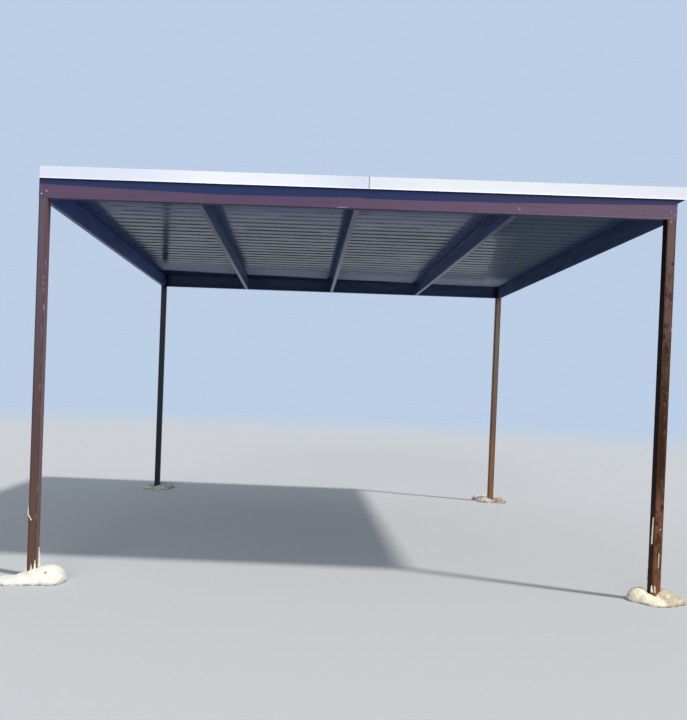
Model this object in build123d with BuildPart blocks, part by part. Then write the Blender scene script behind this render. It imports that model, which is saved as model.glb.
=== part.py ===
from build123d import *
from math import atan2, cos, degrees, pi, radians, sin
import os

os.makedirs("parts", exist_ok=True)

# Overall frame of the carport, from outside to outside of the posts
width = 6096
depth = 6096
clear_height = 3658
left = -width / 2
right = width / 2
front = -depth / 2
rear = depth / 2

# Square tube posts with a flat cap
post_side = 89
post_wall = 3.2
post_corner = 7
post_cap = 3

# Lipped channel, the one section used for every beam and purlin
beam_depth = 203.2
beam_flange = 51
beam_lip = 19
beam_wall = 2
beam_bend = 5
beam_mid = clear_height + beam_depth / 2
beam_top = clear_height + beam_depth

# Purlins between the side beams, the middle one a little right of centre
purlin_spacing = 1524
purlin_shift = 12

# Ribbed roof sheets, ribs running from side to side, each lapped over the next at a rib.
# Whole sheets are spread over the depth, so each covers about its stock width.
sheet_stock_cover = 1016
sheet_ribs = 5
sheet_wall = 0.8
rib_height = 32
rib_top = 32
rib_foot = 76
lap_gap = 0.5
lap_under = 8
lap_over = 20
sheet_edge_gap = 2.5
roof_overhang = 100

# Folded edge trim along the front and the rear, in two lengths that meet at a seam
trim_wall = 1
trim_lap = 14
trim_rise = 104
trim_hem = 9
trim_past_rib = 8
trim_foot = 25
trim_seam = 105
trim_gap = 0.3

# Set foam round the post feet: how far it spreads past the post faces
foam_reach_x = 252
foam_reach_y = 340
lobe_sides = 20
lobe_bands = 5
lobe_crown_angle = 75


def save(piece, name):
    piece.part.label = name
    export_step(piece.part, "parts/" + name + ".step")


def post_outline():
    with BuildSketch(mode=Mode.PRIVATE) as outline:
        RectangleRounded(post_side, post_side, post_corner)
    return outline.sketch


def post_bore():
    bore_side = post_side - 2 * post_wall
    with BuildSketch(mode=Mode.PRIVATE) as bore:
        RectangleRounded(bore_side, bore_side, post_corner - post_wall)
    return bore.sketch


def channel_section():
    inner_flange = beam_flange - 2 * beam_wall
    inner_depth = beam_depth - 2 * beam_wall
    mouth_height = beam_depth - 2 * beam_lip
    with BuildSketch(mode=Mode.PRIVATE) as section:
        RectangleRounded(beam_flange, beam_depth, beam_bend)
        RectangleRounded(inner_flange, inner_depth, beam_bend - beam_wall, mode=Mode.SUBTRACT)
        with Locations((beam_flange / 2 - beam_wall, 0)):
            Rectangle(2 * beam_wall, mouth_height, mode=Mode.SUBTRACT)
    return section.sketch


# Posts: closed square tubes, the beams rest on their caps
post_x = left + post_side / 2
post_y = front + post_side / 2
with BuildPart() as post_front_left:
    with BuildSketch(Plane((post_x, post_y, 0))):
        add(post_outline())
    extrude(amount=clear_height)
    with BuildSketch(Plane((post_x, post_y, 0))):
        add(post_bore())
    extrude(amount=clear_height - post_cap, mode=Mode.SUBTRACT)
save(post_front_left, "post_front_left")

with BuildPart() as post_front_right:
    mirror(post_front_left.part, about=Plane.YZ)
save(post_front_right, "post_front_right")

with BuildPart() as post_rear_left:
    mirror(post_front_left.part, about=Plane.XZ)
save(post_rear_left, "post_rear_left")

with BuildPart() as post_rear_right:
    mirror(post_front_right.part, about=Plane.XZ)
save(post_rear_right, "post_rear_right")

# Front and rear beams: full width, smooth web outward
front_beam_end = Plane(
    origin=(left, front + beam_flange / 2, beam_mid), x_dir=(0, 1, 0), z_dir=(1, 0, 0)
)
with BuildPart() as front_beam:
    with BuildSketch(front_beam_end):
        add(channel_section())
    extrude(amount=width)
save(front_beam, "front_beam")

with BuildPart() as rear_beam:
    mirror(front_beam.part, about=Plane.XZ)
save(rear_beam, "rear_beam")

# Side beams: from the front beam to the rear beam, smooth web towards the parking bay
inner_length = depth - 2 * beam_flange
left_beam_end = Plane(
    origin=(left + beam_flange / 2, front + beam_flange, beam_mid), x_dir=(-1, 0, 0), z_dir=(0, 1, 0)
)
with BuildPart() as left_beam:
    with BuildSketch(left_beam_end):
        add(channel_section())
    extrude(amount=inner_length)
save(left_beam, "left_beam")

with BuildPart() as right_beam:
    mirror(left_beam.part, about=Plane.YZ)
save(right_beam, "right_beam")

# Purlins: same length as the side beams, all open to the left
purlin_middle_end = Plane(
    origin=(purlin_shift, front + beam_flange, beam_mid), x_dir=(-1, 0, 0), z_dir=(0, 1, 0)
)
with BuildPart() as purlin_middle:
    with BuildSketch(purlin_middle_end):
        add(channel_section())
    extrude(amount=inner_length)
save(purlin_middle, "purlin_middle")

with BuildPart() as purlin_left:
    with Locations((-purlin_spacing, 0, 0)):
        add(purlin_middle.part)
save(purlin_left, "purlin_left")

with BuildPart() as purlin_right:
    with Locations((purlin_spacing, 0, 0)):
        add(purlin_middle.part)
save(purlin_right, "purlin_right")

# Roof sheets: the folded rib profile, drawn out from side to side.
# Each sheet starts with a short leg under the last rib of the sheet before it.
sheet_count = round(depth / sheet_stock_cover)
sheet_cover = depth / sheet_count
rib_pitch = sheet_cover / sheet_ribs
rib_run = (rib_foot - rib_top) / 2 / rib_height
first_rib = rib_top / 2 + lap_under * rib_run + sheet_edge_gap
lap_rise = sheet_wall + lap_gap
lap_top = rib_height + lap_rise
for number in range(sheet_count):
    under_side = [
        (-rib_top / 2 - lap_under * rib_run, rib_height - lap_under),
        (-rib_top / 2, rib_height),
        (rib_top / 2, rib_height),
        (rib_foot / 2, 0),
    ]
    for rib in range(1, sheet_ribs):
        rib_middle = rib * rib_pitch
        under_side.append((rib_middle - rib_foot / 2, 0))
        under_side.append((rib_middle - rib_top / 2, rib_height))
        under_side.append((rib_middle + rib_top / 2, rib_height))
        under_side.append((rib_middle + rib_foot / 2, 0))
    under_side.append((sheet_cover - rib_foot / 2 - lap_rise * rib_run, 0))
    if number < sheet_count - 1:
        under_side.append((sheet_cover - rib_top / 2, lap_top))
        under_side.append((sheet_cover + rib_top / 2, lap_top))
        under_side.append((sheet_cover + rib_top / 2 + lap_over * rib_run, lap_top - lap_over))
    upper_side = [(along, up + sheet_wall) for along, up in reversed(under_side)]
    sheet_end = Plane(
        origin=(left, front + first_rib + number * sheet_cover, beam_top),
        x_dir=(0, 1, 0), z_dir=(1, 0, 0),
    )
    with BuildPart() as roof_sheet:
        with BuildSketch(sheet_end):
            with BuildLine():
                Polyline(*under_side, *upper_side, close=True)
            make_face()
        extrude(amount=width + roof_overhang)
    save(roof_sheet, "roof_sheet_" + str(number + 1))

# Edge trim: kicked-out hem, tall face on the beam, top return and a foot on the roof sheet
trim_low = beam_top - trim_lap
trim_high = beam_top + trim_rise
trim_return = first_rib + rib_foot / 2 + trim_past_rib
foot_low = beam_top + sheet_wall
trim_outer = [
    (-trim_hem, trim_low),
    (-trim_wall, trim_low + trim_hem),
    (-trim_wall, trim_high),
    (trim_return, trim_high),
    (trim_return, foot_low + trim_wall),
    (trim_return + trim_foot, foot_low + trim_wall),
]
trim_inner = [
    (trim_return + trim_foot, foot_low),
    (trim_return - trim_wall, foot_low),
    (trim_return - trim_wall, trim_high - trim_wall),
    (0, trim_high - trim_wall),
    (0, trim_low + trim_hem - trim_wall / 2),
    (trim_wall - trim_hem, trim_low - trim_wall / 2),
]


def trim_section():
    with BuildSketch(mode=Mode.PRIVATE) as section:
        with BuildLine():
            Polyline(*trim_outer, *trim_inner, close=True)
        make_face()
    return section.sketch


trim_left_end = Plane(origin=(left, front, 0), x_dir=(0, 1, 0), z_dir=(1, 0, 0))
with BuildPart() as front_trim_left:
    with BuildSketch(trim_left_end):
        add(trim_section())
    extrude(amount=trim_seam - trim_gap - left)
save(front_trim_left, "front_trim_left")

trim_seam_end = Plane(origin=(trim_seam, front, 0), x_dir=(0, 1, 0), z_dir=(1, 0, 0))
with BuildPart() as front_trim_right:
    with BuildSketch(trim_seam_end):
        add(trim_section())
    extrude(amount=right + roof_overhang - trim_seam)
save(front_trim_right, "front_trim_right")

with BuildPart() as rear_trim_left:
    mirror(front_trim_left.part, about=Plane.XZ)
save(rear_trim_left, "rear_trim_left")

with BuildPart() as rear_trim_right:
    mirror(front_trim_right.part, about=Plane.XZ)
save(rear_trim_right, "rear_trim_right")


# Foam footings: round crowned lobes of set foam, run together round the post foot.
# A lobe rises in bands, each leaning further in than the one below.
def foam_lobe(x, y, radius, height):
    slopes = [radians(lobe_crown_angle * band / lobe_bands) for band in range(lobe_bands + 1)]
    inner_radius = radius * cos(pi / lobe_sides)
    with BuildPart(mode=Mode.PRIVATE) as lobe:
        with BuildSketch(Plane((x, y, 0))):
            RegularPolygon(radius, lobe_sides)
        for lower, upper in zip(slopes, slopes[1:]):
            rise = height * (sin(upper) - sin(lower)) / sin(slopes[-1])
            inset = inner_radius * (cos(lower) - cos(upper))
            lean = degrees(atan2(inset, rise))
            if lower == 0:
                extrude(amount=rise, taper=lean)
            else:
                extrude(lobe.faces().sort_by(Axis.Z)[-1], amount=rise, taper=lean)
    return lobe.part


def post_socket(x, y, height):
    with BuildPart(mode=Mode.PRIVATE) as socket:
        with BuildSketch(Plane((x, y, 0))):
            add(post_outline())
        extrude(amount=height)
    return socket.part


# Front left: a high dome ahead of the post and a low tongue that spreads outward
dome_radius = 160
dome_height = 150
dome_inward = 232
dome_ahead = 140
tongue_radius = 150
tongue_height = 62
tongue_inward = 60
collar_radius = 105
collar_height = 66
with BuildPart() as foam_front_left:
    add(foam_lobe(left + dome_inward, front - dome_ahead, dome_radius, dome_height))
    add(foam_lobe(
        left - foam_reach_x + tongue_radius, front - foam_reach_y + tongue_radius,
        tongue_radius, tongue_height,
    ))
    add(foam_lobe(left + tongue_inward, front - dome_ahead, tongue_radius, collar_height))
    add(foam_lobe(post_x, post_y, collar_radius, tongue_height))
    add(post_socket(post_x, post_y, dome_height), mode=Mode.SUBTRACT)
save(foam_front_left, "foam_front_left")

# Front right: a lobe on each side of the post, and a low lip ahead of it and behind it
inner_lobe_radius = 110
inner_lobe_height = 130
inner_lobe_inward = 190
outer_lobe_radius = 130
outer_lobe_height = 125
side_lobe_ahead = 20
lip_radius = 160
lip_height = 75
back_radius = 130
with BuildPart() as foam_front_right:
    add(foam_lobe(
        right - inner_lobe_inward, front - side_lobe_ahead, inner_lobe_radius, inner_lobe_height
    ))
    add(foam_lobe(
        right + foam_reach_x - outer_lobe_radius, front - side_lobe_ahead,
        outer_lobe_radius, outer_lobe_height,
    ))
    add(foam_lobe(-post_x, front - foam_reach_y + lip_radius, lip_radius, lip_height))
    add(foam_lobe(-post_x, post_y, back_radius, collar_height))
    add(post_socket(-post_x, post_y, inner_lobe_height), mode=Mode.SUBTRACT)
save(foam_front_right, "foam_front_right")

# Rear footings: a low lobe behind the post and smaller ones on both sides of it
rear_lobe_radius = 210
rear_lobe_height = 90
rear_lobe_inward = 120
rear_side_radius = 160
rear_side_height = 70
with BuildPart() as foam_rear_left:
    add(foam_lobe(
        left + rear_lobe_inward, rear + foam_reach_y - rear_lobe_radius,
        rear_lobe_radius, rear_lobe_height,
    ))
    add(foam_lobe(
        left - foam_reach_x + rear_side_radius, -post_y, rear_side_radius, rear_side_height
    ))
    add(foam_lobe(post_x + rear_side_radius / 2, -post_y, rear_side_radius, rear_side_height))
    add(post_socket(post_x, -post_y, rear_lobe_height), mode=Mode.SUBTRACT)
save(foam_rear_left, "foam_rear_left")

with BuildPart() as foam_rear_right:
    mirror(foam_rear_left.part, about=Plane.YZ)
save(foam_rear_right, "foam_rear_right")
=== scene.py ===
import math

import bmesh
import bpy
from mathutils import Matrix, Vector, noise


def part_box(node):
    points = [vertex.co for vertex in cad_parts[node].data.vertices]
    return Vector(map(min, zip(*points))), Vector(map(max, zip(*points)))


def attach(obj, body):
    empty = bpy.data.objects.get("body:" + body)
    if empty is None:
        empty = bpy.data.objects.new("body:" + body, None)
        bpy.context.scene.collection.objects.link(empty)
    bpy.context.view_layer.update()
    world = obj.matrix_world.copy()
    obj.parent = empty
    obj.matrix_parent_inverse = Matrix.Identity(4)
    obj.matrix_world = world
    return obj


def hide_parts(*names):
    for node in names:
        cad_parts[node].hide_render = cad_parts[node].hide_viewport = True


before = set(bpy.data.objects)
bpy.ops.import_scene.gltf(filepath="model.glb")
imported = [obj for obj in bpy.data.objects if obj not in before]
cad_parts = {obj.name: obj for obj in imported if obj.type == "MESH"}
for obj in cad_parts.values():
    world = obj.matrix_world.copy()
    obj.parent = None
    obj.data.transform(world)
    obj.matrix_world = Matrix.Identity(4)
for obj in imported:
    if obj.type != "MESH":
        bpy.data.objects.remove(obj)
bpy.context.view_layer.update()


# Posts: four square steel tubes standing at the corners, brushed with dark red-brown primer.
# Near the top it turns mauve under a painted haze of light, splashed soil has browned the feet,
# and rust has started where the paint was thin.
def measured(node):
    """The lower and the upper corner of a node's box in metres, to a tenth of a millimetre."""
    return [tuple(round(value, 4) for value in corner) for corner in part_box(node)]


def post_middle(corner):
    """Where the middle of a post stands, along x and y."""
    low, high = measured("post_" + corner)
    return [(low[axis] + high[axis]) / 2 for axis in (0, 1)]


def on_screen(red, green, blue):
    """A colour as it reads on a screen, 0 to 255, as the values that a shader takes."""
    levels = [value / 255 for value in (red, green, blue)]
    return [v / 12.92 if v <= 0.04045 else ((v + 0.055) / 1.055) ** 2.4 for v in levels] + [1.0]


def toned(colour, factor):
    """A darker or lighter tone of a colour."""
    return [value * factor for value in colour[:3]] + [1.0]


def new_finish(name, roughness, metallic=0.0, gleam=0.5):
    """A material, its node tree and its shader. gleam is how strongly its face mirrors."""
    finish = bpy.data.materials.new(name)
    finish.use_nodes = True
    shader = finish.node_tree.nodes["Principled BSDF"]
    shader.inputs["Roughness"].default_value = roughness
    shader.inputs["Metallic"].default_value = metallic
    shader.inputs["Specular IOR Level"].default_value = gleam
    return finish, finish.node_tree, shader


def wire(tree, kind, feeds, **options):
    """Adds a node and feeds its sockets, each with a plain value or another node's output."""
    made = tree.nodes.new("ShaderNode" + kind)
    for option, value in options.items():
        setattr(made, option, value)
    for socket, value in feeds.items():
        if isinstance(value, bpy.types.NodeSocket):
            tree.links.new(value, made.inputs[socket])
        else:
            made.inputs[socket].default_value = value
    return made


def worked(tree, operation, *values):
    """A sum, such as ADD or ABSOLUTE, of plain values and other nodes' outputs."""
    return wire(tree, "Math", dict(enumerate(values)), operation=operation).outputs["Value"]


def times(tree, first, second):
    return worked(tree, "MULTIPLY", first, second)


def larger(tree, first, second):
    return worked(tree, "MAXIMUM", first, second)


def worked_places(tree, operation, *places):
    """The same for places. Its result is under Vector, or under Value for a plain number."""
    return wire(tree, "VectorMath", dict(enumerate(places)), operation=operation).outputs


def place_on(tree):
    return wire(tree, "TexCoord", {}).outputs["Object"]


def facing_on(tree):
    return wire(tree, "NewGeometry", {}).outputs["Normal"]


def along(tree, vector, axis):
    return wire(tree, "SeparateXYZ", {"Vector": vector}).outputs[axis]


def cloud(tree, place, patch, detail=3.0, roughness=0.55):
    """Soft noise with patches of about these sizes in metres along x, y and z."""
    spread = wire(tree, "Mapping", {"Vector": place, "Scale": [1 / side for side in patch]})
    feeds = {"Vector": spread.outputs["Vector"], "Scale": 1.0, "Detail": detail, "Roughness": roughness}
    return wire(tree, "TexNoise", feeds).outputs["Fac"]


def between(tree, value, start, end, first=0.0, last=1.0):
    """Goes smoothly from first to last as value goes from start to end."""
    feeds = {"Value": value, "From Min": start, "From Max": end, "To Min": first, "To Max": last}
    return wire(tree, "MapRange", feeds, interpolation_type="SMOOTHSTEP").outputs["Result"]


def blend(tree, share, under, over):
    """Lays one colour over another by a share from 0 to 1."""
    return wire(tree, "Mix", {0: share, 6: under, 7: over}, data_type="RGBA").outputs[2]


def spot(tree, place, centre, reach, ragged):
    """1 in the middle of a spot, 0 outside it. ragged is how uneven its edge is."""
    feeds = {"Vector": place, "Location": centre, "Scale": reach}
    scaled = wire(tree, "Mapping", feeds, vector_type="TEXTURE").outputs["Vector"]
    away = worked_places(tree, "LENGTH", scaled)["Value"]
    edge = times(tree, cloud(tree, place, [side * 0.35 for side in reach], 4.0), ragged)
    return between(tree, worked(tree, "ADD", away, edge), 1.0 + ragged / 2, 0.55 + ragged / 2)


def bump(tree, height, distance):
    feeds = {"Height": height, "Distance": distance, "Strength": 1.0}
    return wire(tree, "Bump", feeds).outputs["Normal"]


def dress(node, finish):
    """Gives a node from the model its finish."""
    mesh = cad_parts[node].data
    mesh.materials.clear()
    mesh.materials.append(finish)


def prime_post(
    corner, high, low, chips_and_glints_at, rust_at, wear, mottle_and_shade,
    side_light_and_shade=None, shaded_front=None, scab_at=None, gleam=0.15,
):
    """Primes one post. high and low are its colours at the top and at the foot. The chipped edge
    and rust_at are (x, y) of the edges that have chipped and rusted most, and scab_at is a patch
    of rust, all from the post's middle; on the rear right post the chips are painted highlights
    of a sunlit edge. wear and the mottling go from 0 to 1; the mottling is grime and stains mixed
    with painted tree shadow and dapples of light. The side tone is the colour of the side towards
    the bay, painted lighter where the sun lights it and darker where it stands in shade, then its
    share at the foot and higher up."""
    middle_x, middle_y = post_middle(corner)
    finish, tree, shader = new_finish("primer_" + corner, 0.5, gleam=gleam)
    place = place_on(tree)
    height = along(tree, place, "Z")
    facing = facing_on(tree)
    ground_place = worked_places(tree, "MULTIPLY", place, (1, 1, 0))["Vector"]

    def near(edge, reach):
        """1 along an upright edge of the post, 0 beyond reach of it."""
        edge_place = (middle_x + edge[0], middle_y + edge[1], 0)
        away = worked_places(tree, "DISTANCE", ground_place, edge_place)["Value"]
        return between(tree, away, reach, reach * 0.4)

    def band(foot, full_from, full_to, top, most):
        """Comes in from foot to full_from and goes again from full_to to top."""
        rising = between(tree, height, foot, full_from)
        return times(tree, rising, between(tree, height, top, full_to, 0.0, most))

    # The paint, brushed on upright, turning mauve towards the top with a painted haze of light
    colour = blend(tree, between(tree, height, 0.1, 3.3), low, high)
    strokes = cloud(tree, place, (0.014, 0.014, 0.6), 4.0)
    colour = blend(tree, between(tree, strokes, 0.4, 0.72, 0.0, 0.25), colour, toned(low, 1.5))

    # Grime mixed with painted tree shadow over the middle of its height, then small dark stains and pale
    # scuffs mixed with painted dapples of shade and light
    colour = blend(tree, band(0.85, 1.35, 1.7, 3.35, 0.8 * mottle_and_shade), colour, toned(low, 0.22))
    colour = blend(tree, band(0.9, 1.2, 1.6, 2.1, 0.55 * mottle_and_shade ** 3), colour, toned(low, 0.12))
    stain_and_dapple_zone = between(tree, height, 3.4, 2.7, 0.1, 1.0)
    stain_and_dapple_zone = times(tree, stain_and_dapple_zone, between(tree, height, 0.1, 0.8, 0.35, mottle_and_shade))
    stains_and_dapples = cloud(tree, place, (0.03, 0.03, 0.07), 5.0, 0.65)
    stains_and_dapples = times(tree, between(tree, stains_and_dapples, 0.56 - mottle_and_shade * 0.1, 0.64 - mottle_and_shade * 0.04), stain_and_dapple_zone)
    colour = blend(tree, times(tree, stains_and_dapples, mottle_and_shade), colour, toned(low, 0.28))
    scuffs_and_lit_dapples = cloud(tree, place, (0.025, 0.025, 0.06), 4.0, 0.6)
    scuffs_and_lit_dapples = times(tree, between(tree, scuffs_and_lit_dapples, 0.55, 0.7, 0.0, 0.5), stain_and_dapple_zone)
    colour = blend(tree, scuffs_and_lit_dapples, colour, toned(low, 1.7))

    # Painted shade where the front and rear sides turn the corner
    from_middle = worked(tree, "ABSOLUTE", worked(tree, "SUBTRACT", along(tree, place, "X"), middle_x))
    front_turn = between(tree, worked(tree, "ABSOLUTE", along(tree, facing, "Y")), 0.2, 0.6)
    corner_shade = times(tree, between(tree, from_middle, 0.025, 0.034, 0.0, 0.55), front_turn)
    colour = blend(tree, corner_shade, colour, toned(low, 0.4))

    # Rust along one edge, and a scab where the post has one
    rust = between(tree, cloud(tree, place, (0.02, 0.02, 0.4), 5.0, 0.7), 0.46, 0.62, 0.0, wear)
    rust = times(tree, rust, near(rust_at, 0.03))
    scab_reach = (0.022, 0.02, 0.028)
    if scab_at:
        scab_place = (middle_x + scab_at[0], middle_y + scab_at[1], scab_at[2])
        rust = larger(tree, rust, times(tree, spot(tree, place, scab_place, scab_reach, 0.9), 0.7))
    colour = blend(tree, times(tree, rust, 0.7), colour, on_screen(136, 88, 66))
    if scab_at:
        scab = spot(tree, place, scab_place, [side * 0.7 for side in scab_reach], 0.9)
        colour = blend(tree, scab, colour, on_screen(58, 32, 26))

    # Chips along another edge, most of them in the upper third; on the rear right post they are painted
    # highlights of a sunlit edge
    chips = between(tree, cloud(tree, place, (0.02, 0.02, 0.11), 4.0, 0.75), 0.57, 0.62)
    chips = times(tree, chips, between(tree, height, 3.35, 2.8, 0.0, wear))
    chips = times(tree, chips, near(chips_and_glints_at, 0.022))
    chips = times(tree, chips, between(tree, height, 2.2, 2.6, 0.3, 1.0))
    colour = blend(tree, chips, colour, on_screen(178, 158, 150))

    # Painted light and shade on the sides: the side towards the bay lighter where the sun lights it and
    # darker where it stands in shade, and a front that stands in shade painted dark
    if side_light_and_shade:
        inner_colour, share_at_foot, share_above = side_light_and_shade
        inward = -1 if middle_x > 0 else 1
        turned_in = between(tree, along(tree, facing, "X"), inward * 0.2, inward * 0.8)
        turned_in = times(tree, turned_in, between(tree, height, 0.3, 2.0, share_at_foot, share_above))
        colour = blend(tree, turned_in, colour, inner_colour)
    if shaded_front:
        turned_front = between(tree, along(tree, facing, "Y"), -0.2, -0.8)
        colour = blend(tree, turned_front, colour, shaded_front)
    tree.links.new(colour, shader.inputs["Base Color"])
    tree.links.new(between(tree, rust, 0.0, 1.0, 0.46, 0.85), shader.inputs["Roughness"])
    tree.links.new(bump(tree, strokes, 0.0004), shader.inputs["Normal"])
    dress("post_" + corner, finish)
    return finish


prime_post(
    "front_left", on_screen(92, 75, 92), on_screen(95, 70, 57), chips_and_glints_at=(0.0355, -0.0385),
    rust_at=(0.0445, 0.0395), wear=1.0, mottle_and_shade=0.2, side_light_and_shade=(on_screen(134, 102, 102), 0.7, 0.7),
)
right_primer = prime_post(
    "front_right", on_screen(112, 92, 90), on_screen(120, 82, 58), chips_and_glints_at=(0.0385, -0.0385),
    rust_at=(0.0425, -0.0365), wear=0.6, mottle_and_shade=1.0, side_light_and_shade=(on_screen(24, 14, 8), 0.7, 0.97),
    scab_at=(0.0225, -0.0465, 3.235), gleam=0.03,
)
prime_post(
    "rear_left", on_screen(92, 75, 86), on_screen(98, 72, 58), chips_and_glints_at=(0.0355, -0.0355),
    rust_at=(-0.0425, 0.0425), wear=0.5, mottle_and_shade=0.2, side_light_and_shade=(on_screen(9, 16, 33), 1.0, 1.0),
    shaded_front=on_screen(8, 14, 31),
)
# The rear right post is painted lighter all over, as it stands in sun
prime_post(
    "rear_right", on_screen(162, 138, 118), on_screen(134, 94, 68), chips_and_glints_at=(0.0405, -0.0395),
    rust_at=(-0.0395, -0.0395), wear=0.8, mottle_and_shade=0.35, side_light_and_shade=(on_screen(84, 64, 54), 0.6, 0.6),
)


# Beams and purlins: cold-formed lipped steel channel with a factory coat of dark enamel.
# The outer webs are a dull, pale maroon with a painted mauve cast of reflected sky. Under the roof
# and just below the edge trim, where the sun never comes, the enamel is painted deep blue, as it looks in
# shade.
front_low, front_high = measured("front_beam")
rear_high = measured("rear_beam")[1]
frame_edge = front_high[0]
beam_foot = front_low[2]
beam_top = front_high[2]
trim_low, trim_high = measured("front_trim_right")
seam = trim_low[0]


def profile(tree, value, stops):
    """Reads a level off the line through these points, given from left to right."""
    first, last = stops[0][0], stops[-1][0]
    feeds = {"Value": value, "From Min": first, "From Max": last}
    ramp = wire(tree, "ValToRGB", {"Fac": wire(tree, "MapRange", feeds).outputs["Result"]})
    while len(ramp.color_ramp.elements) < len(stops):
        ramp.color_ramp.elements.new(0.5)
    for element, (x, level) in zip(ramp.color_ramp.elements, stops):
        element.position = (x - first) / (last - first)
        element.color = (level, level, level, 1.0)
    return ramp.outputs["Color"]


def faded_enamel(tree, place, chips):
    """The enamel's sunlit look, its mauve partly a painted reflection of the sky, with runs, grime and
    chips, a painted highlight along the lower edge and the painted shadow of the trim. chips are (place,
    size) of spots without it.
    """
    way = along(tree, place, "X")
    up_web = worked(tree, "SUBTRACT", along(tree, place, "Z"), beam_foot)
    colour = blend(tree, between(tree, way, -1.0, 3.0), on_screen(98, 80, 105), on_screen(117, 96, 114))
    runs = cloud(tree, place, (0.7, 0.7, 0.35), 4.0)
    colour = blend(tree, between(tree, runs, 0.4, 0.75, 0.0, 0.5), colour, on_screen(118, 92, 108))
    grime = between(tree, cloud(tree, place, (0.6, 0.6, 0.03), 6.0, 0.65), 0.5, 0.72, 0.0, 0.4)
    colour = blend(tree, grime, colour, on_screen(86, 66, 88))
    # A painted highlight along the lower edge of the web, where the bend catches the light, stronger to the
    # right
    edge_highlight = times(tree, between(tree, up_web, 0.010, 0.003), between(tree, way, 0.2, 3.0, 0.1, 0.75))
    colour = blend(tree, edge_highlight, colour, on_screen(160, 138, 152))
    for centre, size in chips:
        colour = blend(tree, spot(tree, place, centre, size, 0.9), colour, on_screen(150, 132, 144))

    # Painted shadow of the trim's hem, a dark blue strip. It reaches lowest left of the middle, steps down
    # at the seam and is darkest at its top
    trim_shadow = profile(tree, way, [
        (-3.2, 0.54), (-2.95, 0.58), (-2.4, 0.73), (-1.9, 0.86), (-1.3, 1.0), (-0.7, 0.95), (0.0, 0.84),
        (seam - 0.043, 0.84), (seam - 0.039, 0.92), (0.5, 0.92), (1.4, 0.84), (2.3, 0.69), (3.1, 0.52),
    ])
    trim_shadow_reach = worked(tree, "MULTIPLY_ADD", trim_shadow, 0.1, up_web)
    trim_shadow_blue = blend(tree, between(tree, way, 0.0, 2.5), on_screen(49, 61, 98), on_screen(67, 69, 99))
    colour = blend(tree, between(tree, trim_shadow_reach, 0.183, 0.192), colour, trim_shadow_blue)
    return blend(tree, between(tree, up_web, 0.166, 0.180, 0.0, 0.75), colour, on_screen(20, 26, 50))


def enamel(node, shade_colour, flange, outside=None, reach=0.004, chips=(), gleam=0.05):
    """Enamels one beam or purlin; the shade colour is the enamel painted as it looks in shade. flange
    is the colour of its lower flange at the front, that at the rear, and the two places along y where
    it changes; on the side beams and purlins it grows paler towards the rear with painted reflected
    light. outside is a point on the sunlit, weathered side and the way that it faces, and the painted
    sunlit look and the weathering come in as far as reach."""
    finish, tree, shader = new_finish("enamel_" + node, 0.3, gleam=gleam)
    place = place_on(tree)
    facing = facing_on(tree)
    film = cloud(tree, place, (0.35, 0.35, 0.08), 5.0, 0.6)
    colour = blend(tree, between(tree, film, 0.35, 0.7), toned(shade_colour, 0.85), toned(shade_colour, 1.15))
    # The lower flange's tone, on the side beams and purlins paler towards the rear with painted reflected
    # light
    front_tone, rear_tone, start, end = flange
    flange_light = blend(tree, between(tree, along(tree, place, "Y"), start, end), front_tone, rear_tone)
    colour = blend(tree, between(tree, along(tree, facing, "Z"), -0.3, -0.9), colour, flange_light)
    if outside:
        # Inside, painted shade in the corners makes the front and rear beams darkest at their ends
        point, outward = outside
        if outward[1]:
            out_way = worked(tree, "ABSOLUTE", along(tree, place, "X"))
            colour = blend(tree, between(tree, out_way, 2.86, 2.98, 0.0, 0.9), colour, on_screen(10, 12, 20))

        # Outside, wherever it faces the weather, the enamel takes its painted sunlit look and a rougher,
        # weathered face
        from_point = worked_places(tree, "SUBTRACT", place, point)["Vector"]
        depth_in = worked_places(tree, "DOT_PRODUCT", from_point, outward)["Value"]
        turned_out = worked_places(tree, "DOT_PRODUCT", facing, outward)["Value"]
        sunlit_and_weathered = between(tree, depth_in, -reach - 0.008, -reach)
        sunlit_and_weathered = times(tree, sunlit_and_weathered, between(tree, turned_out, 0.1, 0.7))
        colour = blend(tree, sunlit_and_weathered, colour, faded_enamel(tree, place, chips))
        tree.links.new(between(tree, sunlit_and_weathered, 0.0, 1.0, 0.3, 0.5), shader.inputs["Roughness"])
    tree.links.new(colour, shader.inputs["Base Color"])
    tree.links.new(bump(tree, film, 0.0006), shader.inputs["Normal"])
    dress(node, finish)


dark_flange = (on_screen(44, 30, 42), on_screen(24, 26, 44), -3.0, 2.0)
enamel("front_beam", on_screen(90, 108, 156), dark_flange, (front_low, (0, -1, 0)), chips=[
    ((1.555, front_low[1], beam_foot + 0.050), (0.012, 0.02, 0.020)),
    ((-0.130, front_low[1], beam_foot + 0.006), (0.070, 0.02, 0.008)),
], gleam=0.02)
enamel("rear_beam", on_screen(90, 102, 130), dark_flange, (rear_high, (0, 1, 0)), gleam=0.03)
# The side beams' and purlins' lower flanges grow paler towards the rear with painted reflected light
enamel(
    "left_beam", on_screen(96, 114, 164), (on_screen(72, 90, 136), on_screen(96, 110, 150), -3.0, 3.0),
    (front_low, (-1, 0, 0)), reach=0.06,
)
enamel(
    "right_beam", on_screen(92, 106, 136), (on_screen(70, 84, 108), on_screen(90, 100, 120), 0.0, 3.0),
    (front_high, (1, 0, 0)), reach=0.06, gleam=0.0,
)
flange_glare = on_screen(140, 146, 164)
enamel("purlin_left", on_screen(84, 100, 138), (on_screen(76, 88, 118), flange_glare, -1.8, 2.2))
enamel("purlin_middle", on_screen(114, 128, 176), (on_screen(96, 104, 126), flange_glare, -2.4, 1.4))
enamel("purlin_right", on_screen(104, 118, 164), (on_screen(40, 50, 80), flange_glare, -2.6, -0.8))


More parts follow.
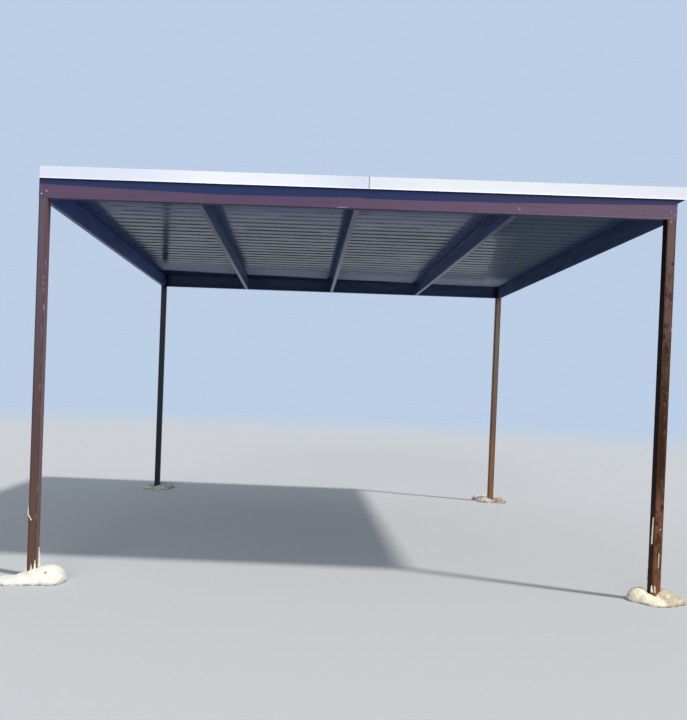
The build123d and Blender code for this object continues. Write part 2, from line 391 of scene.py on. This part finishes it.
# Roof sheets: six ribbed steel sheets, roll formed from zinc and aluminium coated coil.
# The top is bare spangled metal. The underside has a thin grey wash coat that mirrors
# the beams at a low angle.
roof_finish, tree, shader = new_finish("coated_sheet", 0.34, gleam=0.0)
place = place_on(tree)
across = along(tree, place, "X")
depth = along(tree, place, "Y")
sky_side = between(tree, along(tree, facing_on(tree), "Z"), -0.1, 0.1)

# The top, with its crystals and a chalky film along the ribs
spangle = wire(tree, "TexVoronoi", {"Vector": place, "Scale": 160.0}, feature="F1")
crystal_shade = along(tree, spangle.outputs["Color"], "X")
metal = blend(tree, crystal_shade, on_screen(178, 182, 188), on_screen(206, 209, 213))
chalk = cloud(tree, place, (0.9, 0.12, 0.9), 4.0)
metal = blend(tree, between(tree, chalk, 0.45, 0.75, 0.0, 0.5), metal, on_screen(160, 163, 166))

# The underside, palest and dullest at the front, with long patches from the rolls and streaks that are
# partly an uneven wash and partly painted sheen and shade
shine = between(tree, depth, -2.9, -1.0)
wash = blend(tree, shine, on_screen(126, 132, 168), on_screen(66, 73, 90))
wash = blend(tree, between(tree, depth, 0.6, 2.2, 0.0, 0.8), wash, on_screen(112, 119, 146))
patches = cloud(tree, place, (2.5, 0.18, 1.0), 3.0)
wash = blend(tree, between(tree, patches, 0.35, 0.7, 0.0, 0.4), wash, on_screen(84, 90, 106))
sheen_and_wash_streaks = cloud(tree, place, (0.45, 0.05, 1.0), 4.0, 0.6)
wash = blend(tree, between(tree, sheen_and_wash_streaks, 0.50, 0.66, 0.0, 0.45), wash, on_screen(150, 156, 176))
wash = blend(tree, between(tree, sheen_and_wash_streaks, 0.50, 0.34, 0.0, 0.45), wash, on_screen(44, 50, 66))
# Painted light in the rib hollows towards the front, which softens their shade
up_rib = worked(tree, "SUBTRACT", along(tree, place, "Z"), beam_top)
hollow = times(tree, between(tree, up_rib, 0.0018, 0.0108), between(tree, depth, -0.8, -2.2, 0.0, 0.6))
wash = blend(tree, hollow, wash, on_screen(176, 182, 206))

# Painted reflections: a darker one over the right-hand bay's dull front and outer part, and a pale one over
# the dull rear
outer_way = worked(tree, "MULTIPLY_ADD", depth, -0.2, across)
rear_way = worked(tree, "MULTIPLY_ADD", across, -0.11, depth)
plain = times(tree, between(tree, across, 1.52, 1.53), between(tree, depth, -0.8, -1.5))
outer_part = profile(tree, outer_way, [(1.9, 0), (2.06, 0), (2.13, 0.45), (2.28, 0.6), (2.38, 1), (2.5, 1)])
plain = larger(tree, plain, outer_part)
wash = blend(tree, plain, wash, on_screen(106, 117, 130))
rear_dull = between(tree, rear_way, 1.5, 2.35)
wash = blend(tree, rear_dull, wash, on_screen(196, 200, 211))

# Shade in the corners beside the side beams, the purlins and the rear beam
corner_way = times(tree, across, worked(tree, "MULTIPLY_ADD", depth, -0.012, 1.0))
lee = profile(tree, corner_way, [
    (-3.1, 1), (-2.87, 1), (-2.79, 0),
    (-1.52, 0), (-1.51, 1), (-1.455, 1), (-1.405, 0),
    (-0.10, 0), (-0.055, 1), (0.0, 1), (0.01, 0),
    (1.35, 0), (1.42, 1), (1.52, 1), (1.53, 0),
    (2.86, 0), (2.93, 1), (3.1, 1),
])
lee = larger(tree, lee, between(tree, rear_way, 2.70, 2.82))
out_way = worked(tree, "ABSOLUTE", across)
shade = blend(tree, between(tree, out_way, 2.0, 2.6), on_screen(106, 116, 148), on_screen(88, 100, 136))
shade = blend(tree, between(tree, rear_way, 2.56, 2.72), shade, on_screen(60, 67, 90))
wash = blend(tree, lee, wash, shade)

dull = larger(tree, larger(tree, lee, plain), rear_dull)
gloss = times(tree, between(tree, dull, 0.0, 1.0, 1.0, 0.2), between(tree, shine, 0.0, 1.0, 0.05, 0.65))
gloss = larger(tree, gloss, times(tree, sky_side, 0.9))
tree.links.new(gloss, shader.inputs["Metallic"])
tree.links.new(blend(tree, sky_side, wash, metal), shader.inputs["Base Color"])
rough = larger(tree, between(tree, plain, 0.0, 1.0, 0.16, 0.5), times(tree, sky_side, 0.38))
tree.links.new(rough, shader.inputs["Roughness"])
roll_marks = cloud(tree, place, (0.32, 0.07, 1.0), 4.0, 0.6)
tree.links.new(bump(tree, roll_marks, 0.0016), shader.inputs["Normal"])
for number in range(1, 7):
    dress("roof_sheet_" + str(number), roof_finish)


# Edge trim: white coil-coated steel folded to a box over the roof edge, with a kicked-out
# hem in front and a foot on the sheet behind. Rain has left faint grey runs on it.
trim_finish, tree, shader = new_finish("white_trim", 0.34, gleam=0.25)
place = place_on(tree)
across = along(tree, place, "X")
# Painted shade greys the white, most at the left end and beside the seam on the left-hand length
painted_trim_shade = profile(tree, across, [
    (-3.3, 0.9), (-2.2, 0.8), (-1.4, 0.15), (-0.6, 0.2), (seam - 0.005, 0.9), (seam + 0.003, 0.45),
    (0.8, 0.05), (2.0, 0.05), (3.0, 0.3), (3.3, 0.4),
])
white = blend(tree, painted_trim_shade, on_screen(248, 249, 250), on_screen(221, 224, 240))
runs = cloud(tree, place, (0.03, 0.03, 0.25), 5.0, 0.6)
white = blend(tree, between(tree, runs, 0.5, 0.78, 0.0, 0.12), white, on_screen(214, 218, 228))
# A painted hairline of shadow along the edge of the lap
hairline = profile(tree, across, [
    (seam + 0.005, 0), (seam + 0.009, 0.85), (seam + 0.015, 0.85), (seam + 0.018, 0),
])
white = blend(tree, hairline, white, on_screen(116, 118, 134))
tree.links.new(white, shader.inputs["Base Color"])
film = cloud(tree, place, (0.8, 0.8, 0.4), 3.0)
tree.links.new(bump(tree, film, 0.002), shader.inputs["Normal"])
for node in ("front_trim_left", "front_trim_right", "rear_trim_left", "rear_trim_right"):
    dress(node, trim_finish)


# Set foam: two-part post foam that has boiled up out of the ground round each foot and
# gone hard. It is pale cream with a tight skin, browned by soil at its lower edge.
foam_finish, tree, shader = new_finish("set_foam", 0.62)
place = place_on(tree)
across = along(tree, place, "X")
depth = along(tree, place, "Y")
height = along(tree, place, "Z")
skin = cloud(tree, place, (0.05, 0.05, 0.05), 5.0, 0.6)
cream = blend(tree, between(tree, skin, 0.35, 0.7), on_screen(240, 239, 231), on_screen(236, 229, 208))

# The rear left lump is painted greyer, as it stands in shade, the front right one yellower, and both
# right-hand ones have brown outer slopes
rear = between(tree, depth, 2.0, 2.5)
rear_left = times(tree, rear, between(tree, across, 0.1, -0.1))
cream = blend(tree, rear_left, cream, on_screen(168, 170, 160))
front_right = times(tree, between(tree, across, 2.5, 2.6), between(tree, depth, 2.0, 1.9, 0.0, 0.7))
cream = blend(tree, front_right, cream, on_screen(240, 230, 198))
outer_slope = times(tree, between(tree, across, 3.0, 3.06), between(tree, skin, 0.3, 0.6, 0.5, 0.95))
cream = blend(tree, outer_slope, cream, on_screen(174, 160, 128))

# Soil on every lower edge and over much of the rear right lump, and the painted shade of one small dent
rear_right = times(tree, rear, between(tree, across, -0.1, 0.1))
buried = times(tree, rear_right, between(tree, height, 0.09, 0.03, 0.3, 1.0))
covered = larger(tree, between(tree, height, 0.03, 0.0), buried)
soil = between(tree, cloud(tree, place, (0.04, 0.04, 0.025), 6.0, 0.7), 0.35, 0.6)
cream = blend(tree, times(tree, covered, soil), cream, on_screen(128, 98, 74))
dent_shade = spot(tree, place, (-2.779, -3.28, 0.112), (0.018, 0.06, 0.011), 0.6)
cream = blend(tree, dent_shade, cream, on_screen(142, 144, 136))
tree.links.new(cream, shader.inputs["Base Color"])
shader.inputs["Subsurface Weight"].default_value = 0.15
shader.inputs["Subsurface Radius"].default_value = (0.012, 0.008, 0.005)
shader.inputs["Subsurface Scale"].default_value = 1.0
pores = cloud(tree, place, (0.012, 0.012, 0.012), 4.0)
tree.links.new(bump(tree, pores, 0.002), shader.inputs["Normal"])


def new_piece(name, shape, finish):
    """Makes an object of a finished shape, gives it its finish, and fixes it to the carport."""
    mesh = bpy.data.meshes.new(name)
    shape.to_mesh(mesh)
    shape.free()
    mesh.materials.append(finish)
    piece = bpy.data.objects.new(name, mesh)
    bpy.context.scene.collection.objects.link(piece)
    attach(piece, "root")
    return piece


def poured_foam(name, lobes, grain, knob_height, knobs=9.0):
    """Lobes are (x, y, z, spread x, spread y, spread z), grown together into one closed skin."""
    shape = bmesh.new()
    for x, y, z, spread_x, spread_y, spread_z in lobes:
        size = Matrix.Diagonal((spread_x, spread_y, spread_z, 1.0))
        bmesh.ops.create_icosphere(
            shape, subdivisions=4, radius=1.0, matrix=Matrix.Translation((x, y, z)) @ size
        )
    rough = bpy.data.meshes.new(name + "_rough")
    shape.to_mesh(rough)
    shape.free()
    poured = bpy.data.objects.new(name + "_rough", rough)
    bpy.context.scene.collection.objects.link(poured)
    joined = poured.modifiers.new("joined", "REMESH")
    joined.mode = "VOXEL"
    joined.voxel_size = grain
    settled = poured.modifiers.new("settled", "SMOOTH")
    settled.factor = 0.6
    settled.iterations = 10
    settled_foam = poured.evaluated_get(bpy.context.evaluated_depsgraph_get())
    grown = bpy.data.meshes.new_from_object(settled_foam)
    bpy.data.objects.remove(poured)
    shape = bmesh.new()
    shape.from_mesh(grown)
    bpy.data.meshes.remove(grown)
    shape.normal_update()
    fine_pores = 60.0
    pore_share = 0.14
    for vert in shape.verts:
        knob = noise.fractal(vert.co * knobs, 1.0, 2.0, 3)
        pore = noise.fractal(vert.co * fine_pores, 1.0, 2.0, 2)
        vert.co += vert.normal * knob_height * (knob + pore_share * pore)
    for face in shape.faces:
        face.smooth = True
    return shape


lump_grain = 0.008


def foam_lump(corner, lobes, knob_height=0.010, knobs=9.0):
    """A lump that lies on the ground round a post, cut off flat underneath. Its lobes are
    (x, y, spread x, spread y, spread z), and x and y are measured from the post's middle."""
    name = "foam_lump_" + corner
    middle_x, middle_y = post_middle(corner)
    bed = [(middle_x + x, middle_y + y, 0.0, wide, deep, tall) for x, y, wide, deep, tall in lobes]
    shape = poured_foam(name, bed, lump_grain, knob_height, knobs)
    cut = bmesh.ops.bisect_plane(
        shape, geom=shape.verts[:] + shape.edges[:] + shape.faces[:], plane_co=(0, 0, 0),
        plane_no=(0, 0, -1), clear_outer=True,
    )
    rim = [part for part in cut["geom_cut"] if isinstance(part, bmesh.types.BMEdge)]
    bmesh.ops.holes_fill(shape, edges=rim)
    bmesh.ops.recalc_face_normals(shape, faces=shape.faces)
    piece = new_piece(name, shape, foam_finish)
    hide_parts("foam_" + corner)


foam_lump("front_left", [
    (0.2215, -0.1665, 0.158, 0.165, 0.160),
    (0.1235, -0.1665, 0.150, 0.170, 0.118),
    (-0.1365, -0.2315, 0.155, 0.145, 0.052),
    (-0.0565, -0.2215, 0.150, 0.150, 0.058),
    (0.0135, -0.1865, 0.150, 0.165, 0.075),
    (0.0005, 0.0005, 0.100, 0.100, 0.064),
])
foam_lump("front_right", [
    (-0.1355, 0.0135, 0.112, 0.110, 0.128),
    (-0.0935, -0.0565, 0.095, 0.090, 0.095),
    (0.0815, 0.0035, 0.105, 0.120, 0.126),
    (0.1265, -0.0065, 0.120, 0.120, 0.104),
    (0.1865, -0.0165, 0.106, 0.105, 0.064),
    (-0.0135, -0.1165, 0.135, 0.095, 0.060),
    (0.0865, -0.0815, 0.120, 0.095, 0.062),
])
for side, name in ((-1, "left"), (1, "right")):
    foam_lump("rear_" + name, [
        (side * -0.0755, 0.1745, 0.200, 0.200, 0.094),
        (side * 0.1365, -0.0005, 0.150, 0.150, 0.072),
        (side * -0.0795, -0.0005, 0.150, 0.150, 0.072),
    ], knob_height=0.017, knobs=22.0)


# Foam runs: where the foam spat while it rose, it has set in thin tapering runs and dabs
# on the faces of the two front posts. Each one sticks to the paint by its own skin.
def foam_run(points):
    """Close lobes along points that are (x, y, z, half width) from one end to the other."""
    lobes = []
    for (x, y, z, half), (next_x, next_y, next_z, next_half) in zip(points, points[1:]):
        for share in (0.0, 0.2, 0.4, 0.6, 0.8):
            size = half + (next_half - half) * share
            lobes.append((
                x + (next_x - x) * share, y + (next_y - y) * share, z + (next_z - z) * share,
                size, size, max(size, abs(next_z - z) * 0.16),
            ))
    return lobes


run_grain = 0.0022
run_knob_height = 0.0015

# The runs of each post as points of foam_run, with x and y from the post's middle
foam_runs = {
    "front_left": {
        "foam_run_tall": [
            (0.0535, 0.0185, 0.050, 0.024), (0.0545, 0.0115, 0.160, 0.014),
            (0.0515, 0.0055, 0.290, 0.004),
        ],
        "foam_run_corner": [
            (0.0375, -0.0485, 0.050, 0.016), (0.0355, -0.0475, 0.120, 0.009),
            (0.0355, -0.0455, 0.172, 0.003),
        ],
        "foam_run_middle": [
            (-0.0015, -0.0485, 0.040, 0.012), (-0.0005, -0.0465, 0.090, 0.007),
            (0.0015, -0.0455, 0.132, 0.003),
        ],
        "foam_run_outer": [(-0.0485, -0.0445, 0.030, 0.008), (-0.0475, -0.0425, 0.120, 0.003)],
        "foam_dab_bent": [
            (-0.0485, -0.0365, 0.690, 0.004), (-0.0435, -0.0455, 0.600, 0.006),
            (-0.0305, -0.0475, 0.582, 0.006), (-0.0085, -0.0465, 0.545, 0.007),
        ],
    },
    "front_right": {
        "foam_run_long": [
            (-0.0465, -0.0305, 0.800, 0.007), (-0.0485, -0.0265, 0.690, 0.008),
            (-0.0495, -0.0245, 0.545, 0.009),
        ],
        "foam_run_short": [(0.0125, -0.0455, 0.455, 0.005), (0.0105, -0.0465, 0.320, 0.004)],
        "foam_dab_high": [(0.0145, -0.0465, 0.705, 0.006), (0.0155, -0.0465, 0.695, 0.005)],
        "foam_dab_side": [(0.0455, -0.0265, 0.785, 0.006), (0.0455, -0.0245, 0.775, 0.005)],
        "foam_run_back": [(-0.0475, 0.0415, 0.290, 0.005), (-0.0485, 0.0435, 0.185, 0.006)],
        "foam_dab_foot": [(-0.0435, -0.0425, 0.155, 0.006), (-0.0415, -0.0485, 0.095, 0.013)],
        "foam_dab_toe": [(-0.0135, -0.0465, 0.150, 0.005), (-0.0125, -0.0485, 0.090, 0.008)],
    },
}
for corner, runs_here in foam_runs.items():
    middle_x, middle_y = post_middle(corner)
    for name, points in runs_here.items():
        placed = [(middle_x + x, middle_y + y, z, half) for x, y, z, half in points]
        shape = poured_foam(name, foam_run(placed), run_grain, run_knob_height)
        new_piece(name, shape, foam_finish)


# Screws: zinc-plated self-drilling screws with a hexagon head on a pressed washer. They join
# the front and rear beams to the posts at each end, and hold down the roof and the trim.
zinc_finish, tree, shader = new_finish("zinc_plate", 0.5, 1.0)
place = place_on(tree)
tarnish = between(tree, cloud(tree, place, (0.006, 0.006, 0.006), 3.0), 0.4, 0.7)
zinc = blend(tree, tarnish, on_screen(172, 173, 180), on_screen(138, 136, 138))
tree.links.new(zinc, shader.inputs["Base Color"])

washer_foot = 0.0075
washer_rim = 0.0062
washer_depth = 0.0016
washer_sunk = 0.0001
head_radius = 0.0047
head_depth = 0.0048
head_foot = 0.0012
crown_bevel = 0.0007


def drive_screws(name, places, outward):
    """One mesh of all the screws whose heads stand at these places and face one way."""
    turn = Vector(outward).to_track_quat("Z", "Y").to_matrix().to_4x4()
    washer_middle = Matrix.Translation((0, 0, washer_depth / 2 - washer_sunk))
    head_middle = head_foot + head_depth / 2
    shape = bmesh.new()
    for place in places:
        seat = Matrix.Translation(place) @ turn
        bmesh.ops.create_cone(
            shape, cap_ends=True, segments=12, radius1=washer_foot, radius2=washer_rim, depth=washer_depth,
            matrix=seat @ washer_middle,
        )
        head = bmesh.ops.create_cone(
            shape, cap_ends=True, segments=6, radius1=head_radius, radius2=head_radius, depth=head_depth,
            matrix=seat @ Matrix.Translation((0, 0, head_middle)),
        )
        crown = [edge for vert in head["verts"] for edge in vert.link_edges
                 if all((seat.inverted() @ end.co).z > head_middle for end in edge.verts)]
        bmesh.ops.bevel(
            shape, geom=list(dict.fromkeys(crown)), offset=crown_bevel, offset_type="OFFSET", segments=1,
            profile=0.5, affect="EDGES", material=-1,
        )
    new_piece(name, shape, zinc_finish)


left_post_x = post_middle("front_left")[0]
right_post_x = post_middle("front_right")[0]
screws_at_ends = [
    (left_post_x - 0.0195, beam_foot + 0.039), (left_post_x + 0.0275, beam_foot + 0.066),
    (right_post_x - 0.0115, beam_foot + 0.068), (right_post_x + 0.0235, beam_foot + 0.042),
    (right_post_x - 0.0095, beam_foot - 0.025),
]
ends = ((-1, "front"), (1, "rear"))
for side, end_name in ends:
    drive_screws("beam_screws_" + end_name, [
        (x, side * frame_edge, z) for x, z in screws_at_ends
    ], (0, side, 0))

sheet_top = beam_top + 0.0008
ribs = 30
ribs_in_a_sheet = 5
rib_pitch = 2 * frame_edge / ribs
first_rib = 0.024 - frame_edge
rib_lines = [first_rib + rib_pitch * number for number in range(ribs)]
past_the_rib = 0.055
member_lines = []
for node in ("left_beam", "purlin_left", "purlin_middle", "purlin_right", "right_beam"):
    low, high = measured(node)
    member_lines.append((low[0] + high[0]) / 2)
drive_screws("roof_screws", [
    (x, y + past_the_rib, sheet_top) for x in member_lines for y in rib_lines[1:-1]
], (0, 0, 1))

lap_lines = rib_lines[ribs_in_a_sheet::ribs_in_a_sheet]
lap_top = measured("roof_sheet_2")[1][2] + 0.0001
lap_screw_lines = [-2.7 + 0.6 * number for number in range(10)]
drive_screws("lap_screws", [
    (x, y, lap_top) for y in lap_lines for x in lap_screw_lines
], (0, 0, 1))

trim_foot_line = frame_edge - 0.083
trim_foot_top = sheet_top + 0.001
trim_screw_lines = [-2.9 + 0.5 * number for number in range(13)]
for side, end_name in ends:
    drive_screws("trim_screws_" + end_name, [
        (x, side * trim_foot_line, trim_foot_top) for x in trim_screw_lines
    ], (0, 0, 1))


# Trim lap: at the seam the right-hand length runs over the left one. It is the same white
# sheet, folded the same way, so only its edge and a hairline of shadow show.
lap_left = seam + 0.0185
lap_width = 0.0265
lap_gauge = 0.0009
lap_face = frame_edge + 0.0022
lap_fold = [
    (frame_edge + 0.0108, trim_low[2] - 0.0001),
    (lap_face, trim_low[2] + 0.0093),
    (lap_face, trim_high[2] - 0.0004),
]
for side, end_name in ends:
    shape = bmesh.new()
    line = [shape.verts.new((lap_left, side * y, z)) for y, z in lap_fold]
    edges = [shape.edges.new(pair) for pair in zip(line, line[1:])]
    drawn = bmesh.ops.extrude_edge_only(shape, edges=edges)
    drawn_verts = [part for part in drawn["geom"] if isinstance(part, bmesh.types.BMVert)]
    bmesh.ops.translate(shape, vec=(lap_width, 0, 0), verts=drawn_verts)
    bmesh.ops.recalc_face_normals(shape, faces=shape.faces)
    bmesh.ops.solidify(shape, geom=shape.faces[:], thickness=lap_gauge)
    bmesh.ops.recalc_face_normals(shape, faces=shape.faces)
    new_piece("trim_lap_" + end_name, shape, trim_finish)


# Weld beads: short fillets that hold the posts to the beams and the purlins between them,
# laid with a stick electrode and brushed over with the same primer.
ripple_step = 0.006
ripple_half = 0.0048
small_bead = 0.0035
large_bead = 0.004


def lay_bead(shape, start, end, radius):
    """A row of overlapping ripples from start to end."""
    start, end = Vector(start), Vector(end)
    run = end - start
    turn = run.to_track_quat("Z", "Y").to_matrix().to_4x4()
    ripple = Matrix.Diagonal((radius, radius, ripple_half, 1.0))
    ripples = max(2, round(run.length / ripple_step))
    for number in range(ripples):
        middle = start + run * (number + 0.5) / ripples
        bmesh.ops.create_icosphere(
            shape, subdivisions=1, radius=1.0, matrix=Matrix.Translation(middle) @ turn @ ripple
        )


post_inside = measured("post_front_right")[0][0]
beam_inside = measured("left_beam")[1][1]
shape = bmesh.new()
for side in (-1, 1):
    for end in (-1, 1):
        y = end * (frame_edge - 0.0025)
        outer_end = (side * (frame_edge - 0.004), y, beam_foot)
        inner_end = (side * (post_inside + 0.005), y, beam_foot)
        lay_bead(shape, outer_end, inner_end, small_bead)
        x = side * (post_inside - 0.0005)
        outer_end = (x, end * (frame_edge - 0.006), beam_foot - 0.0005)
        inner_end = (x, end * (beam_inside + 0.002), beam_foot - 0.0005)
        lay_bead(shape, outer_end, inner_end, large_bead)
for x in member_lines:
    for end in (-1, 1):
        y = end * (beam_inside - 0.0002)
        z = beam_foot + 0.0005
        lay_bead(shape, (x - 0.020, y, z), (x + 0.020, y, z), small_bead)
new_piece("weld_beads", shape, right_primer)


# Stage: a pale seamless floor, a soft sun from the right as in the photograph, and an even
# pale sky. The camera stands where the photograph was taken, about 23 feet in front.
sky_colour = (0.50, 0.62, 0.79, 1.0)
floor_finish, tree, shader = new_finish("studio_floor", 0.9, gleam=0.1)
paths = wire(tree, "LightPath", {})
bounced = paths.outputs["Is Diffuse Ray"]
tone = blend(tree, bounced, (0.56, 0.57, 0.58, 1.0), (0.24, 0.26, 0.31, 1.0))
tree.links.new(tone, shader.inputs["Base Color"])
away = worked_places(tree, "LENGTH", place_on(tree))["Value"]
far = times(tree, between(tree, away, 14.0, 42.0), paths.outputs["Is Camera Ray"])
glow = wire(tree, "Emission", {"Color": sky_colour, "Strength": 1.0}).outputs["Emission"]
mixed = wire(tree, "MixShader", {0: far, 1: shader.outputs["BSDF"], 2: glow}).outputs["Shader"]
tree.links.new(mixed, tree.nodes["Material Output"].inputs["Surface"])
shape = bmesh.new()
bmesh.ops.create_circle(shape, cap_ends=True, segments=96, radius=60.0)
mesh = bpy.data.meshes.new("studio_floor")
shape.to_mesh(mesh)
shape.free()
mesh.materials.append(floor_finish)
floor = bpy.data.objects.new("studio_floor", mesh)
bpy.context.scene.collection.objects.link(floor)

# The sky looks brighter to the camera and in mirrored light than the light that it gives
world = bpy.data.worlds.new("studio_sky")
world.use_nodes = True
bpy.context.scene.world = world
tree = world.node_tree
paths = wire(tree, "LightPath", {})
seen = larger(tree, paths.outputs["Is Camera Ray"], paths.outputs["Is Glossy Ray"])
seen = larger(tree, seen, paths.outputs["Is Transmission Ray"])
lighting = wire(tree, "Background", {"Color": (0.74, 0.86, 1.0, 1.0), "Strength": 0.42})
backdrop = wire(tree, "Background", {"Color": sky_colour, "Strength": 1.0})
mixed = wire(tree, "MixShader", {0: seen, 1: lighting.outputs[0], 2: backdrop.outputs[0]})
tree.links.new(mixed.outputs["Shader"], tree.nodes["World Output"].inputs["Surface"])


def sun(name, towards, strength, softness, colour):
    """A far lamp in the direction towards, with its width in degrees as softness."""
    lamp = bpy.data.lights.new(name, "SUN")
    lamp.energy = strength
    lamp.angle = math.radians(softness)
    lamp.color = colour
    holder = bpy.data.objects.new(name, lamp)
    holder.rotation_euler = Vector(towards).to_track_quat("Z", "Y").to_euler()
    bpy.context.scene.collection.objects.link(holder)


sun("key_sun", (0.52, -0.20, 0.83), 2.5, 4.0, (1.0, 0.96, 0.91))
sun("front_fill", (-0.2, -0.95, 0.25), 1.5, 30.0, (1.0, 0.98, 0.97))

lens = bpy.data.cameras.new("photo_camera")
lens.sensor_width = 36.0
lens.lens = 35.897
lens.shift_x = 0.0706
lens.shift_y = 0.0491
camera = bpy.data.objects.new("photo_camera", lens)
camera.location = (-0.4515, -9.9365, 1.9328)
camera.rotation_euler = [math.radians(turn) for turn in (89.3166, -2.1598, 0.7480)]
bpy.context.scene.collection.objects.link(camera)
bpy.context.scene.camera = camera
bpy.context.scene.view_settings.view_transform = "Standard"
